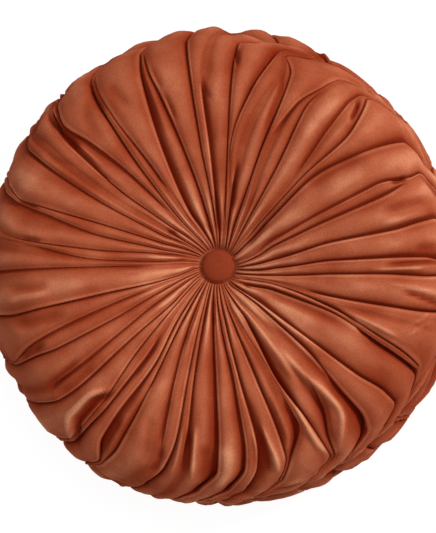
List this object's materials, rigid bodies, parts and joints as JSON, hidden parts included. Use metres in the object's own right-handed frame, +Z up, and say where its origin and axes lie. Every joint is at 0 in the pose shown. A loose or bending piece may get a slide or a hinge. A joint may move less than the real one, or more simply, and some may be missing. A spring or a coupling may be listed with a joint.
{
  "type": "round pleated cushion",
  "caption": "Round filled cushion with lapped knife pleats that swirl into a covered button in a dimple at its centre and turn down to a drawn-in side seam.",
  "frame": {"origin": "under the centre of the cushion, on the surface it lies on", "axes": "+Z up out of the pleated face, +Y towards the top of the face as the picture shows it"},
  "size_m": [0.402, 0.413, 0.101],
  "materials": {
    "pleated_velvet": "short-pile rust velvet, matt with a pale sheen at grazing angles",
    "button_velvet": "the same velvet pulled tight over a domed button"
  },
  "bodies": {
    "root": {"cushion": "pleated_velvet", "button_front": "button_velvet", "button_back": "button_velvet"}
  },
  "joints": []
}
